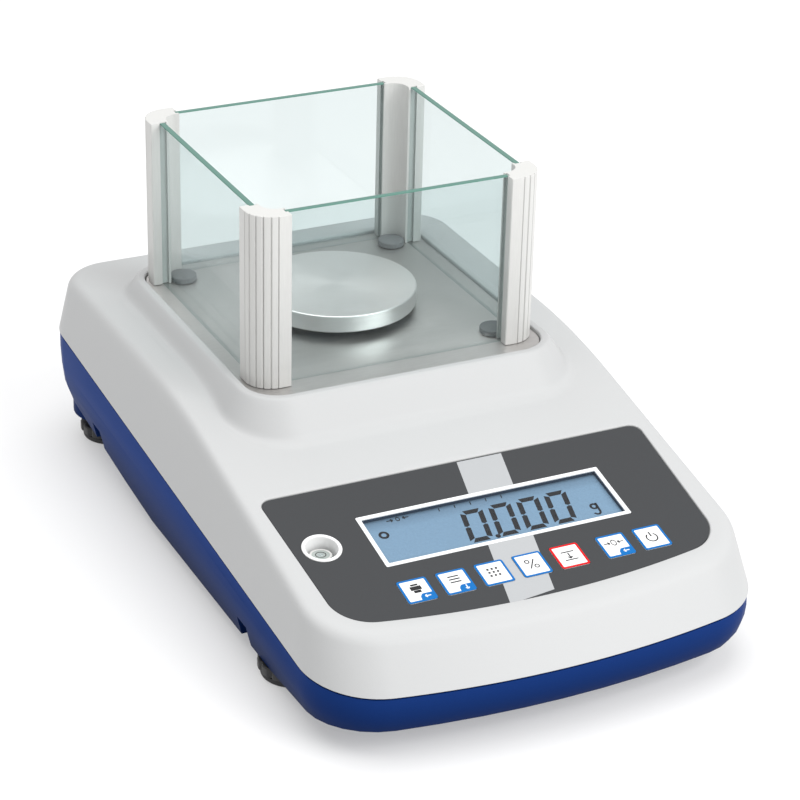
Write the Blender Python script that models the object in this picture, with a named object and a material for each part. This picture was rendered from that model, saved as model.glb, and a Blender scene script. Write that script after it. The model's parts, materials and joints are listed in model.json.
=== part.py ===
"""Laboratory balance with a four-pane glass draft shield, built as separate pieces.

Every size below is in millimetres and is scaled to metres when a mesh is made.
X runs across the balance, +Y points to the back, +Z is up. Depths along Y are given
from a datum 9.1 mm in front of the middle of the case; add_object moves every piece by
DATUM_Y, so the world origin is on the ground under the exact middle.
"""
import math

import bpy
import bmesh
from mathutils import Vector

MM = 0.001

# ---- driving dimensions ----
PAN_DIAMETER = 80.0
CASE_WIDTH = 220.4
FRONT_Y = -176.8
BACK_Y = 195.0
BASE_BOTTOM_Z = 9.0
FOLD_Z_MIDDLE = 24.7
FOLD_SLOPE = 0.04
PARTING_Z_MIDDLE = 45.9
PARTING_SLOPE = 0.079
DECK_Z = 92.3
PLATE_TOP_Z = 98.8
GLASS_HEIGHT = 86.0
SHIELD_Y = 72.0
PANEL_TILT = math.radians(11.8)
PANEL_TOP_Y = -60.0
PANEL_TOP_Z = 75.8
BREAK_REACH = 35.0
BREAK_Y = PANEL_TOP_Y + (DECK_Z - PANEL_TOP_Z) / math.tan(PANEL_TILT)
GAP = 0.3
WALL = 3.0

# ---- case outline ----
DATUM_Y = -(FRONT_Y + BACK_Y) / 2
HALF_WIDTH = CASE_WIDTH / 2
FRONT_BOW = 0.0011
SEAM = 0.5
WALL_LINE = (HALF_WIDTH, FRONT_Y, BACK_Y, 36.0, 26.0)
CREST_LINE = (106.7, -162.3, 184.0, 32.0, 24.0)
CREST_ROUND = 5.0
CREST_SHOULDER = 0.82
FOLD_LINE = (108.6, -175.0, 192.5, 35.0, 25.0)
BOTTOM_LINE = (105.5, -172.2, 190.0, 33.0, 24.0)
RIM_INSET = 0.4
SIDE_BULGE = 0.9
CASE_MIDDLE = Vector((0.0, 9.0))
BOTTOM_END_Y = 168.0

# ---- control panel, measured along the slope from its upper edge ----
PANEL_LENGTH = 95.2
OVERLAY_RECESS = 0.55
OVERLAY_THICKNESS = 0.8
POCKET_DEPTH = 1.7
DISPLAY_CENTRE = (1.5, -40.3)
DISPLAY_SIZE = (123.0, 34.4)
DISPLAY_LEDGE = 2.6
KEY_SIZE = (14.0, 14.6)
KEY_ROW = -75.5
KEY_PITCH = 18.8
KEY_NAMES = ("print", "mode", "count", "percent", "tare", "zero", "power")
LEVEL_CENTRE = (-82.4, -37.4)
LEVEL_RADIUS = 8.6

# ---- draft shield ----
POST_OUTER = 74.5
POST_END = 56.0
POST_CORNER_RADIUS = 13.0
POST_INNER_CENTRE = 58.0
POST_INNER_RADIUS = 7.2
GLASS_OUTER = 69.6
GLASS_THICKNESS = 3.0
SLOT_DEPTH = 7.0
DISC_RADIUS = 6.75
DISC_HEIGHT = 3.5

# ---- feet ----
FOOT_RADIUS = 16.8
FOOT_TOP_Z = 8.4
FOOT_PLACES = {"front_left": (-90.5, -85.0), "front_right": (90.5, -85.0),
               "back_left": (-85.0, 167.0), "back_right": (85.0, 167.0)}
INSERT_LOW_Z = 9.3
INSERT_HIGH_Z = 26.0
INSERT_RADIUS = 6.0
PAD_TOP_Z = 2.8

SCREW_PLACES = {"front_left": (-84.0, -128.0), "front_right": (84.0, -128.0),
                "back_left": (-88.0, 105.0), "back_right": (88.0, 105.0)}
CORNERS = {"front_left": (-1, -1), "front_right": (1, -1),
           "back_left": (-1, 1), "back_right": (1, 1)}

# ---- weighing works, collar and plate ----
PLATE_SIZE = (153.0, 159.0)
PLATE_Y = SHIELD_Y - 4.0
PLATE_CORNER_RADIUS = 16.0
PLATE_THICKNESS = 1.6
COLLAR_STEPS = ((12.8, 82.0), (12.6, 84.5), (10.5, 89.5), (4.6, 98.2), (3.8, 99.7), (2.6, 100.4))
PAN_TOP_Z = PLATE_TOP_Z + 12.3
CELL_LOW_Z = 28.0
CELL_HIGH_Z = 50.0

# ---- base details and fittings ----
NOTCH_YS = (-65.5, 127.0)
NOTCH_WIDTH = 11.0
NOTCH_BACK_LENGTH = 15.0
HOOK_PLUG_RADIUS = 9.0
HOOK_BOSS_RADIUS = 12.0
HOOK_PLUG_TOP_Z = 12.2
REAR_BOSS_Z = 15.0
REAR_BOSS_TOP_Z = 24.6
FOLD_FLOOR_SHARE = 0.6
BOARD_Z = 22.4
SCREW_REACH = 23.0
INLET_X, INLET_Z, INLET_SIZE = -62.0, 44.0, 12.0
PORT_X, PORT_Z, PORT_WIDTH, PORT_HEIGHT = 48.0, 44.0, 31.0, 12.6

COLOURS = {
    "housing_grey": ((0.80, 0.80, 0.79), 0.45, 0.0),
    "base_blue": ((0.03, 0.07, 0.30), 0.40, 0.0),
    "steel": ((0.55, 0.56, 0.56), 0.32, 1.0),
    "aluminium": ((0.75, 0.75, 0.75), 0.35, 1.0),
    "post_grey": ((0.78, 0.78, 0.76), 0.40, 0.0),
    "rubber_dark": ((0.12, 0.12, 0.12), 0.70, 0.0),
    "glass": ((0.75, 0.90, 0.85), 0.05, 0.0),
    "panel_dark": ((0.09, 0.09, 0.10), 0.50, 0.0),
    "lcd": ((0.30, 0.45, 0.60), 0.25, 0.0),
    "board_green": ((0.02, 0.16, 0.07), 0.50, 0.0),
    "key_white": ((0.85, 0.85, 0.85), 0.45, 0.0),
    "black_plastic": ((0.02, 0.02, 0.02), 0.50, 0.0),
    "brass": ((0.70, 0.50, 0.20), 0.30, 1.0),
}


# ---------------------------------------------------------------- helpers
def clear_scene():
    for obj in list(bpy.data.objects):
        bpy.data.objects.remove(obj, do_unlink=True)


def material(name):
    found = bpy.data.materials.get(name)
    if found:
        return found
    colour, roughness, metallic = COLOURS[name]
    made = bpy.data.materials.new(name)
    made.use_nodes = True
    shader = made.node_tree.nodes["Principled BSDF"]
    shader.inputs["Base Color"].default_value = (*colour, 1.0)
    shader.inputs["Roughness"].default_value = roughness
    shader.inputs["Metallic"].default_value = metallic
    return made


def add_object(name, mesh, colour, place=(0, 0, 0), parent=None):
    obj = bpy.data.objects.new(name, mesh)
    bpy.context.scene.collection.objects.link(obj)
    obj.location = Vector(place) * MM
    obj.parent = parent
    if parent is None:
        obj.location.y += DATUM_Y * MM
    if colour:
        mesh.materials.append(material(colour))
    else:
        obj.hide_render = True
        obj.display_type = "WIRE"
    return obj


def finish_mesh(name, bm, smooth):
    bmesh.ops.scale(bm, vec=(MM, MM, MM), verts=bm.verts)
    bmesh.ops.recalc_face_normals(bm, faces=bm.faces)
    mesh = bpy.data.meshes.new(name)
    bm.to_mesh(mesh)
    bm.free()
    if smooth:
        mesh.shade_smooth()
        mesh.set_sharp_from_angle(angle=math.radians(35))
    return mesh


def loft_into(bm, rings):
    """Joins closed rings of equal length into one capped solid."""
    rows = [[bm.verts.new(point) for point in ring] for ring in rings]
    count = len(rows[0])
    for low, high in zip(rows, rows[1:]):
        for i in range(count):
            j = (i + 1) % count
            bm.faces.new((low[i], low[j], high[j], high[i]))
    bm.faces.new(rows[0][::-1])
    bm.faces.new(rows[-1])


def loft(name, rings, colour=None, place=(0, 0, 0), parent=None, smooth=False):
    bm = bmesh.new()
    loft_into(bm, rings)
    return add_object(name, finish_mesh(name, bm, smooth), colour, place, parent)


def loft_group(name, solids, parent=None):
    """Several separate lofted solids in one cutter or one set of bosses."""
    bm = bmesh.new()
    for rings in solids:
        loft_into(bm, rings)
    return add_object(name, finish_mesh(name, bm, False), None, (0, 0, 0), parent)


def at_height(outline, z):
    return [(x, y, z) for x, y in outline]


def circle(radius, count, x=0.0, y=0.0):
    return [(x + radius * math.cos(math.tau * i / count), y + radius * math.sin(math.tau * i / count))
            for i in range(count)]


def cylinder(radius, low, high, x=0.0, y=0.0, count=24):
    ring = circle(radius, count, x, y)
    return [at_height(ring, low), at_height(ring, high)]


def turned(profile, count, x=0.0, y=0.0):
    return [at_height(circle(radius, count, x, y), z) for radius, z in profile]


def rectangle(width, depth, x=0.0, y=0.0):
    return [(x - width / 2, y - depth / 2), (x + width / 2, y - depth / 2),
            (x + width / 2, y + depth / 2), (x - width / 2, y + depth / 2)]


def block(width, depth, low, high, x=0.0, y=0.0):
    ring = rectangle(width, depth, x, y)
    return [at_height(ring, low), at_height(ring, high)]


def rounded_rectangle(width, depth, radius, steps, x=0.0, y=0.0):
    points = []
    for quarter, (sx, sy) in enumerate(((1, 1), (-1, 1), (-1, -1), (1, -1))):
        cx = x + sx * (width / 2 - radius)
        cy = y + sy * (depth / 2 - radius)
        for i in range(steps + 1):
            angle = (quarter + i / steps) * math.pi / 2
            points.append((cx + radius * math.cos(angle), cy + radius * math.sin(angle)))
    return points


def boolean(target, cutter, operation="DIFFERENCE"):
    step = target.modifiers.new(cutter.name, "BOOLEAN")
    step.operation = operation
    step.solver = "EXACT"
    step.object = cutter


def bevel(target, width, segments=2):
    step = target.modifiers.new("rounded_edges", "BEVEL")
    step.width = width * MM
    step.segments = segments
    step.limit_method = "ANGLE"
    step.angle_limit = math.radians(40)


def mix(a, b, t):
    return a + (b - a) * t


def smooth_step(value):
    value = min(1.0, max(0.0, value))
    return value * value * (3 - 2 * value)


# ---------------------------------------------------------------- case surfaces
def parting_z(y):
    return PARTING_Z_MIDDLE + PARTING_SLOPE * y


def fold_z(y):
    return FOLD_Z_MIDDLE + FOLD_SLOPE * y


def panel_z(y):
    return PANEL_TOP_Z + math.tan(PANEL_TILT) * (y - PANEL_TOP_Y)


def top_z(y):
    """Height of the case top: a flat panel slope in front, a level deck behind."""
    start = BREAK_Y - BREAK_REACH
    run = min(max(y - start, 0.0), 2 * BREAK_REACH)
    return panel_z(min(y, start)) + math.tan(PANEL_TILT) * (run - run * run / (4 * BREAK_REACH))


def bottom_z(y):
    """Height of the underside: level in the middle, rising to both ends like a shallow keel."""
    front = 4.6 * smooth_step((-98.0 - y) / 75.0)
    rear = 0.125 * max(0.0, min(y, BOTTOM_END_Y) - 62.0)
    return BASE_BOTTOM_Z + front + rear


def case_outline(half, front, back, front_radius, back_radius):
    """Bowed front edge, rounded corners and straight sides; same point count every time."""
    front_x = half - front_radius
    for _ in range(4):
        lean = math.atan(2 * FRONT_BOW * front_x)
        front_x = half - front_radius + front_radius * math.sin(lean)
    right = []
    for i in range(5):
        x = front_x * i / 4
        right.append((x, front + FRONT_BOW * x * x))
    centre_y = front + FRONT_BOW * front_x ** 2 + front_radius * math.cos(lean)
    for i in range(1, 7):
        angle = mix(lean - math.pi / 2, 0.0, i / 6)
        right.append((half - front_radius + front_radius * math.cos(angle),
                      centre_y + front_radius * math.sin(angle)))
    side_end = back - back_radius
    for i in range(1, 8):
        right.append((half, mix(centre_y, side_end, i / 8)))
    for i in range(6):
        angle = math.pi / 2 * i / 5
        right.append((half - back_radius + back_radius * math.cos(angle),
                      side_end + back_radius * math.sin(angle)))
    right.append((0.0, back))
    left = [(-x, y) for x, y in right[-2:0:-1]]
    return right + left


def inset_outline(line, inset):
    """One of the named case lines, moved inward on all sides."""
    half, front, back, front_radius, back_radius = line
    return case_outline(half - inset, front + inset, back - inset, front_radius - inset, back_radius - inset)


def housing_rings(inset, bottom_drop):
    """Rings of the upper case from the parting line over the crest to the middle of the top."""
    wall = inset_outline(WALL_LINE, inset)
    crest = inset_outline(CREST_LINE, inset)
    shelf = inset_outline(CREST_LINE, inset + CREST_ROUND)
    rings = [[(x, y, parting_z(y) - bottom_drop) for x, y in wall]]
    for t in (0.0, 0.25, 0.5, 0.75, 1.0):
        ring = []
        for (wx, wy), (cx, cy), (sx, sy) in zip(wall, crest, shelf):
            corner = Vector((cx, cy, top_z(cy) - inset))
            start = Vector((wx, wy, parting_z(wy))).lerp(corner, CREST_SHOULDER)
            end = Vector((sx, sy, top_z(sy) - inset))
            ring.append(start.lerp(corner, t).lerp(corner.lerp(end, t), t))
        rings.append([tuple(point) for point in ring])
    for scale in (0.86, 0.72, 0.58, 0.44, 0.30, 0.16, 0.03):
        ring = [CASE_MIDDLE.lerp(Vector(point), scale) for point in shelf]
        rings.append([(x, y, top_z(y) - inset) for x, y in ring])
    return rings


def tray_rings(inset, floor_rise, rim_z):
    """Rings of the base tray from its underside up to the parting line."""
    bottom = inset_outline(BOTTOM_LINE, inset)
    fold = inset_outline(FOLD_LINE, inset)
    rim = inset_outline(WALL_LINE, inset + RIM_INSET)
    rings = []
    for scale in (0.03, 0.29, 0.55, 0.71, 0.86, 1.0):
        ring = [CASE_MIDDLE.lerp(Vector(point), scale) for point in bottom]
        rings.append([(x, y, bottom_z(y) + floor_rise) for x, y in ring])
    rings.append([(x, y, fold_z(y) + floor_rise * FOLD_FLOOR_SHARE) for x, y in fold])
    for t in (0.35, 0.7, 1.0):
        bulge = SIDE_BULGE * math.sin(math.pi * t)
        ring = []
        for (fx, fy), (rx, ry) in zip(fold, rim):
            outward = Vector((rx - fx, ry - fy)).normalized() * bulge
            z = mix(fold_z(fy), parting_z(ry) + rim_z, t)
            ring.append((mix(fx, rx, t) + outward.x, mix(fy, ry, t) + outward.y, z))
        rings.append(ring)
    return rings


# ---------------------------------------------------------------- case
def make_base_tray():
    tray = loft("base_tray", tray_rings(0.0, 0.0, -SEAM), "base_blue", smooth=True)
    boolean(tray, loft("tray_inside", tray_rings(WALL, WALL, 2.0)))

    bosses = []
    cuts = []
    for name, (x, y) in FOOT_PLACES.items():
        steps = [(9.0, BASE_BOTTOM_Z + GAP), (9.0, INSERT_HIGH_Z)]
        if name.startswith("back"):
            steps = [(14.0, BASE_BOTTOM_Z + GAP), (14.0, REAR_BOSS_Z), (20.0, REAR_BOSS_Z),
                     (20.0, REAR_BOSS_TOP_Z), (9.0, REAR_BOSS_TOP_Z), (9.0, INSERT_HIGH_Z)]
        bosses.append(turned(steps, 32, x, y))
        cuts.append(cylinder(INSERT_RADIUS + GAP, 8.0, 28.0, x, y))
    for x, y in SCREW_PLACES.values():
        low = bottom_z(y)
        bosses.append(cylinder(6.3, low + 0.6, 24.0, x, y, 16))
        cuts.append(turned(((4.8, low - 5.0), (4.8, low + 3.6), (2.4, low + 3.6), (2.4, 26.0)), 16, x, y))
    for x in (-50.0, 50.0):
        for y in (-128.0, -72.0):
            bosses.append(cylinder(3.0, bottom_z(y) + 1.0, BOARD_Z - GAP, x, y, 12))
    bosses.append(cylinder(HOOK_BOSS_RADIUS, BASE_BOTTOM_Z - GAP, 15.0, 0.0, SHIELD_Y))
    cuts.append(cylinder(HOOK_PLUG_RADIUS + GAP, 8.0, HOOK_PLUG_TOP_Z, 0.0, SHIELD_Y))
    cuts.append(block(INLET_SIZE + 2 * GAP, 30.0, INLET_Z - INLET_SIZE / 2 - GAP,
                      INLET_Z + INLET_SIZE / 2 + GAP, INLET_X, BACK_Y))
    cuts.append(block(PORT_WIDTH + 2 * GAP, 30.0, PORT_Z - PORT_HEIGHT / 2 - GAP,
                      PORT_Z + PORT_HEIGHT / 2 + GAP, PORT_X, BACK_Y))
    notch_backs = []
    for side in (-1, 1):
        for y in NOTCH_YS:
            low = bottom_z(y + 8.0) + 0.6
            notch_backs.append([at_height(rectangle(7.5, NOTCH_BACK_LENGTH, side * 100.75, y), low),
                                at_height(rectangle(10.0, NOTCH_BACK_LENGTH, side * 102.0, y),
                                          fold_z(y) + 1.5)])
            cuts.append(block(15.0, NOTCH_WIDTH, 5.0, fold_z(y) - 3.0, side * 108.7, y))
    boolean(tray, loft_group("tray_bosses", bosses), "UNION")
    boolean(tray, loft_group("tray_notch_backs", notch_backs), "UNION")
    boolean(tray, loft_group("tray_cuts", cuts))


def make_upper_housing(panel):
    housing = loft("upper_housing", housing_rings(0.0, 0.0), "housing_grey", smooth=True)
    collar_rings = []
    for margin, z in COLLAR_STEPS:
        outline = rounded_rectangle(PLATE_SIZE[0] + 2 * margin, PLATE_SIZE[1] + 2 * margin,
                                    PLATE_CORNER_RADIUS + margin, 6, 0.0, PLATE_Y)
        collar_rings.append(at_height(outline, z))
    collar = loft("collar", collar_rings)
    boolean(housing, collar, "UNION")
    boolean(housing, loft("housing_inside", housing_rings(WALL, 10.0)))

    bosses = []
    drills = []
    for x, y in SCREW_PLACES.values():
        bosses.append(cylinder(5.0, 24.4, top_z(y) - 1.5, x, y, 16))
        drills.append(cylinder(2.4, 23.0, 42.0, x, y, 16))
    boolean(housing, loft_group("housing_bosses", bosses), "UNION")
    plate_hole = rounded_rectangle(*(size + 2 * GAP for size in PLATE_SIZE), PLATE_CORNER_RADIUS + GAP, 6,
                                   0.0, PLATE_Y)
    drills.append([at_height(plate_hole, PLATE_TOP_Z - PLATE_THICKNESS - GAP), at_height(plate_hole, 110.0)])
    boolean(housing, loft_group("housing_drills", drills))
    boolean(housing, loft_group("spindle_way", [cylinder(8.0, 80.0, 120.0, 0.0, SHIELD_Y)]))

    pocket = overlay_outline(GAP)
    boolean(housing, loft("overlay_pocket", [at_height(pocket, -POCKET_DEPTH), at_height(pocket, 6.0)],
                          parent=panel))
    openings = [block(DISPLAY_SIZE[0] - 2 * DISPLAY_LEDGE, DISPLAY_SIZE[1] - 2 * DISPLAY_LEDGE,
                      -12.0, 3.0, *DISPLAY_CENTRE),
                cylinder(LEVEL_RADIUS + GAP, -12.0, 3.0, *LEVEL_CENTRE, 32)]
    openings += [cylinder(3.3, -12.0, 3.0, x, KEY_ROW, 16) for x in key_places()]
    boolean(housing, loft_group("panel_openings", openings, panel))


# ---------------------------------------------------------------- control panel
def key_places():
    first = -53.9
    places = [first + KEY_PITCH * i for i in range(5)]
    return places + [44.7, 44.7 + KEY_PITCH]


def overlay_outline(grow):
    """Outline of the panel foil: straight top, slightly tapering sides and a bowed foot."""
    half_top = 97.0 + grow
    half_foot = 94.2 + grow
    top = grow
    foot = -PANEL_LENGTH - grow
    top_radius = 5.5
    foot_radius = 17.0
    foot_x = half_foot - foot_radius
    right = []
    for i in range(5):
        x = foot_x * i / 4
        right.append((x, foot + FRONT_BOW * x * x))
    foot_y = right[-1][1]
    lean = math.atan(2 * FRONT_BOW * foot_x)
    centre = (foot_x - foot_radius * math.sin(lean), foot_y + foot_radius * math.cos(lean))
    for i in range(1, 7):
        angle = mix(lean - math.pi / 2, 0.0, i / 6)
        right.append((centre[0] + foot_radius * math.cos(angle) + 2.8 * i / 6,
                      centre[1] + foot_radius * math.sin(angle)))
    for i in range(4):
        angle = math.pi / 2 * i / 3
        right.append((half_top - top_radius + top_radius * math.cos(angle),
                      top - top_radius + top_radius * math.sin(angle)))
    left = [(-x, y) for x, y in right[-1:0:-1]]
    return right + left


def make_control_panel(panel):
    low = -OVERLAY_RECESS - OVERLAY_THICKNESS
    high = -OVERLAY_RECESS
    outline = overlay_outline(0.0)
    overlay = loft("panel_overlay", [at_height(outline, low), at_height(outline, high)], "panel_dark",
                   parent=panel)
    holes = [block(DISPLAY_SIZE[0] + 2 * GAP, DISPLAY_SIZE[1] + 2 * GAP, -5.0, 5.0, *DISPLAY_CENTRE),
             cylinder(LEVEL_RADIUS + GAP, -5.0, 5.0, *LEVEL_CENTRE, 32)]
    for x in key_places():
        hole = rounded_rectangle(KEY_SIZE[0] + 2 * GAP, KEY_SIZE[1] + 2 * GAP, 1.5, 2, x, KEY_ROW)
        holes.append([at_height(hole, -5.0), at_height(hole, 5.0)])
    boolean(overlay, loft_group("overlay_holes", holes, panel))

    loft("display_window", block(*DISPLAY_SIZE, low, high, *DISPLAY_CENTRE), "glass", parent=panel)
    lcd = loft("lcd_module", block(DISPLAY_SIZE[0] - 1, DISPLAY_SIZE[1] - 1, -8.4, -3.6, *DISPLAY_CENTRE),
               "lcd", parent=panel)
    bevel(lcd, 0.4, 1)

    for name, x in zip(KEY_NAMES, key_places()):
        cap = rounded_rectangle(*KEY_SIZE, 1.2, 2)
        inner = rounded_rectangle(KEY_SIZE[0] - 0.4, KEY_SIZE[1] - 0.4, 1.0, 2)
        stem = circle(2.5, len(cap))
        turn = math.pi / len(cap)
        stem = [(math.cos(turn) * sx - math.sin(turn) * sy, math.sin(turn) * sx + math.cos(turn) * sy)
                for sx, sy in stem]
        loft(f"key_{name}", [at_height(stem, -4.6), at_height(stem, -1.15), at_height(cap, -1.15),
                             at_height(cap, -0.4), at_height(inner, -0.25)],
             "key_white", (x, KEY_ROW, 0.0), panel)

    board = loft("keypad_board", block(146.0, 18.0, -8.6, -7.0, 4.8, KEY_ROW), "board_green", parent=panel)
    switches = [block(6.0, 6.0, -8.0, -5.2, x, KEY_ROW) for x in key_places()]
    boolean(board, loft_group("switches", switches, panel), "UNION")

    cup = turned(((LEVEL_RADIUS, -11.5), (LEVEL_RADIUS, -0.4), (LEVEL_RADIUS - 0.4, 0.0),
                  (7.4, 0.0), (7.2, -0.4), (7.2, -9.7)), 32)
    loft("level_cup", cup, "key_white", (*LEVEL_CENTRE, 0.0), panel, True)


def make_level_vial(panel):
    bpy.context.view_layer.update()
    centre = panel.matrix_world @ (Vector((*LEVEL_CENTRE, -6.3)) * MM) / MM
    centre.y -= DATUM_Y
    vial = turned(((4.8, -2.0), (5.2, -1.6), (5.2, 1.6), (4.8, 2.0)), 24)
    loft("level_vial", vial, "glass", tuple(centre), smooth=True)


# ---------------------------------------------------------------- weighing works
def make_weighing_works():
    outline = rounded_rectangle(*PLATE_SIZE, PLATE_CORNER_RADIUS, 6, 0.0, PLATE_Y)
    plate = loft("shield_plate", [at_height(outline, PLATE_TOP_Z - PLATE_THICKNESS),
                                  at_height(outline, PLATE_TOP_Z)], "steel")
    boolean(plate, loft("plate_hole", cylinder(7.0, 80.0, 120.0, 0.0, SHIELD_Y)))

    radius = PAN_DIAMETER / 2
    profile = ((2.0, -5.0), (6.0, -5.0), (6.0, -1.8), (radius - 1.6, -1.8), (radius - 1.5, -8.6),
               (radius, -8.6), (radius, -1.4), (radius - 0.4, -0.4), (radius - 1.4, 0.0), (2.0, 0.0))
    loft("weighing_pan", turned(profile, 64), "steel", (0.0, SHIELD_Y, PAN_TOP_Z), smooth=True)

    carrier_top = PAN_TOP_Z - 5.0 - GAP
    loft("pan_carrier", turned(((9.0, CELL_HIGH_Z + GAP), (9.0, 53.0), (4.0, 54.5), (4.0, PLATE_TOP_Z + 1.5),
                                (11.0, PLATE_TOP_Z + 4.0),
                                (11.0, carrier_top - 0.4), (10.6, carrier_top)), 32),
         "aluminium", (0.0, SHIELD_Y, 0.0), smooth=True)

    cell = loft("load_cell", block(30.0, 124.0, CELL_LOW_Z, CELL_HIGH_Z, 0.0, 22.0), "aluminium")
    middle_z = (CELL_LOW_Z + CELL_HIGH_Z) / 2
    slots = []
    for y in (4.0, 36.0):
        ring = circle(8.6, 20, 0.0, y)
        slots.append([[(h, py, middle_z + px) for px, py in ring] for h in (-20.0, 20.0)])
    boolean(cell, loft_group("cell_eyes", slots))
    web = ((4.0, -2.0), (36.0, -2.0), (36.0, 2.0), (4.0, 2.0))
    boolean(cell, loft("cell_slot", [[(x, y, middle_z + z) for y, z in web] for x in (-20.0, 20.0)]))
    bevel(cell, 0.5, 1)

    floor_z = BASE_BOTTOM_Z + WALL + GAP
    mount = loft("load_cell_mount", block(40.0, 30.0, floor_z, CELL_LOW_Z - GAP, 0.0, -24.0), "aluminium")
    bevel(mount, 0.8, 1)
    loft("overload_stop", turned(((6.0, floor_z), (6.0, 16.0), (3.0, 16.0), (3.0, 27.2)), 24),
         "brass", (0.0, 52.0, 0.0), smooth=True)
    for name, (sx, sy) in CORNERS.items():
        loft(f"locating_disc_{name}",
             turned(((DISC_RADIUS, PLATE_TOP_Z + GAP), (DISC_RADIUS, PLATE_TOP_Z + DISC_HEIGHT - 0.4),
                     (DISC_RADIUS - 0.4, PLATE_TOP_Z + DISC_HEIGHT)), 32),
             "rubber_dark", (sx * POST_INNER_CENTRE, SHIELD_Y + sy * POST_INNER_CENTRE, 0.0), smooth=True)


def make_electronics():
    board = loft("main_board", block(118.0, 74.0, BOARD_Z, BOARD_Z + 1.6, 0.0, -100.0), "board_green")
    top = BOARD_Z + 1.0
    parts = [block(14.0, 14.0, top, top + 2.4, -20.0, -95.0), block(18.0, 8.0, top, top + 5.0, 22.0, -80.0),
             block(10.0, 10.0, top, top + 3.0, 12.0, -108.0), block(24.0, 6.0, top, top + 6.0, -30.0, -124.0),
             cylinder(5.0, top, top + 12.0, 44.0, -84.0, 16), cylinder(4.0, top, top + 9.0, 44.0, -100.0, 16)]
    boolean(board, loft_group("board_parts", parts), "UNION")

    inlet = loft("dc_inlet", block(INLET_SIZE, 14.0, INLET_Z - INLET_SIZE / 2, INLET_Z + INLET_SIZE / 2,
                                   INLET_X, BACK_Y - 9.0), "black_plastic")
    ring = circle(3.2, 20)
    pin = circle(1.0, 20)
    mouth = BACK_Y + 5.0
    seat = BACK_Y - 12.0
    tip = BACK_Y - 4.0
    socket = [[(INLET_X + px, y, INLET_Z - pz) for px, pz in outline]
              for outline, y in ((ring, mouth), (ring, seat), (pin, seat), (pin, tip))]
    boolean(inlet, loft("inlet_socket", socket))

    half_w = PORT_WIDTH / 2
    half_h = PORT_HEIGHT / 2
    shell = ((-8.6, 4.4), (8.6, 4.4), (7.0, -4.4), (-7.0, -4.4))
    flange = ((-half_w, half_h), (half_w, half_h), (half_w, -half_h), (-half_w, -half_h))
    steps = ((flange, BACK_Y - 14.0), (flange, BACK_Y - 3.4), (shell, BACK_Y - 3.4), (shell, BACK_Y))
    rings = [[(PORT_X + px, y, PORT_Z + pz) for px, pz in outline] for outline, y in steps]
    loft("serial_port", rings, "steel")
    plug = ((HOOK_PLUG_RADIUS - 1.0, BASE_BOTTOM_Z), (HOOK_PLUG_RADIUS, BASE_BOTTOM_Z + 0.8),
            (HOOK_PLUG_RADIUS, HOOK_PLUG_TOP_Z - GAP))
    loft("hook_plug", turned(plug, 24), "black_plastic", (0.0, SHIELD_Y, 0.0), smooth=True)


# ---------------------------------------------------------------- draft shield
def post_profile(sx, sy):
    """L-shaped extrusion with a fluted outer corner, a pane slot in each arm and a round inner corner."""
    outer = [(POST_END, POST_OUTER), (POST_OUTER - POST_CORNER_RADIUS, POST_OUTER)]
    centre = POST_OUTER - POST_CORNER_RADIUS
    flutes = 5
    for i in range(flutes):
        middle = math.radians(84 - 17 * i)
        for offset, depth in ((3.2, 0.0), (2.2, 0.8), (-2.2, 0.8), (-3.2, 0.0)):
            angle = middle + math.radians(offset)
            reach = POST_CORNER_RADIUS - depth
            outer.append((centre + reach * math.cos(angle), centre + reach * math.sin(angle)))
    outer += [(POST_OUTER, centre), (POST_OUTER, POST_END)]
    far = GLASS_OUTER + GAP
    near = GLASS_OUTER - GLASS_THICKNESS - GAP
    end = POST_END
    bottom = POST_END + SLOT_DEPTH + GAP
    inner_face = POST_INNER_CENTRE + POST_INNER_RADIUS
    arm = [(far, end), (far, bottom), (near, bottom), (near, end), (inner_face, end)]
    hollow = []
    for i in range(6):
        angle = math.pi / 2 * i / 5
        hollow.append((POST_INNER_CENTRE + POST_INNER_RADIUS * math.cos(angle),
                       POST_INNER_CENTRE + POST_INNER_RADIUS * math.sin(angle)))
    other_arm = [(b, a) for a, b in reversed(arm)]
    points = outer + arm + hollow + other_arm
    return [(sx * x, SHIELD_Y + sy * y) for x, y in points]


def make_draft_shield():
    low = PLATE_TOP_Z + GAP
    high = PLATE_TOP_Z + GLASS_HEIGHT
    for name, (sx, sy) in CORNERS.items():
        outline = post_profile(sx, sy)
        loft(f"shield_post_{name}", [at_height(outline, low), at_height(outline, high + GAP)], "post_grey")
    length = 2 * (POST_END + SLOT_DEPTH)
    middle = GLASS_OUTER - GLASS_THICKNESS / 2
    panes = {"front": (length, GLASS_THICKNESS, 0.0, -middle), "back": (length, GLASS_THICKNESS, 0.0, middle),
             "left": (GLASS_THICKNESS, length, -middle, 0.0), "right": (GLASS_THICKNESS, length, middle, 0.0)}
    for name, (width, depth, x, y) in panes.items():
        loft(f"glass_pane_{name}", block(width, depth, low, high, x, SHIELD_Y + y), "glass")


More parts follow.
